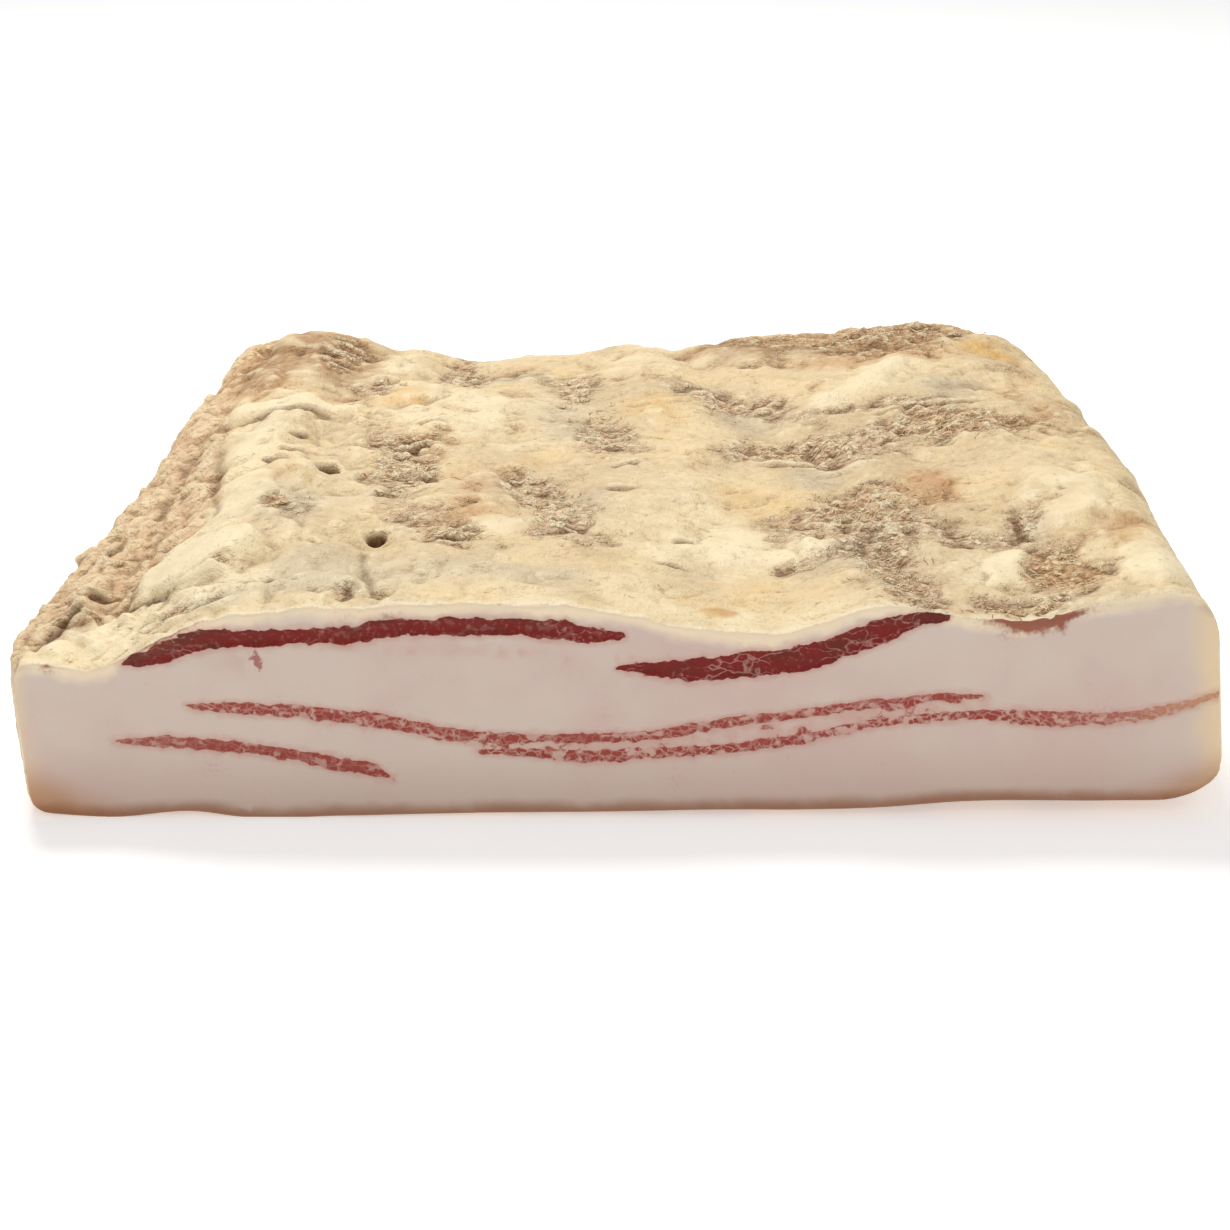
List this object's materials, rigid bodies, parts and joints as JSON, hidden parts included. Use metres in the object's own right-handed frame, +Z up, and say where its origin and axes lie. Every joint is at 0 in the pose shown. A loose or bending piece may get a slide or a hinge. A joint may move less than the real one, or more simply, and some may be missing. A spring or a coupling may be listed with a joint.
{
  "type": "pancetta slab",
  "caption": "Slab of flat-cured pork belly lying on its rind side, cut clean across the front to show pale fat with dark lean layers.",
  "frame": {"origin": "middle of the slab's box in plan, on the surface that it lies on", "axes": "+Z up, +X to the right along the cut face, +Y from the cut face into the slab"},
  "size_m": [0.2708, 0.2233, 0.0561],
  "materials": {
    "fat": "waxy, satin where cut",
    "lean": "moist satin"
  },
  "bodies": {
    "root": {"fat": "fat", "lean_upper_left": "lean", "lean_upper_right": "lean", "lean_middle_upper": "lean", "lean_middle_lower": "lean", "lean_lower_left": "lean"}
  },
  "joints": []
}
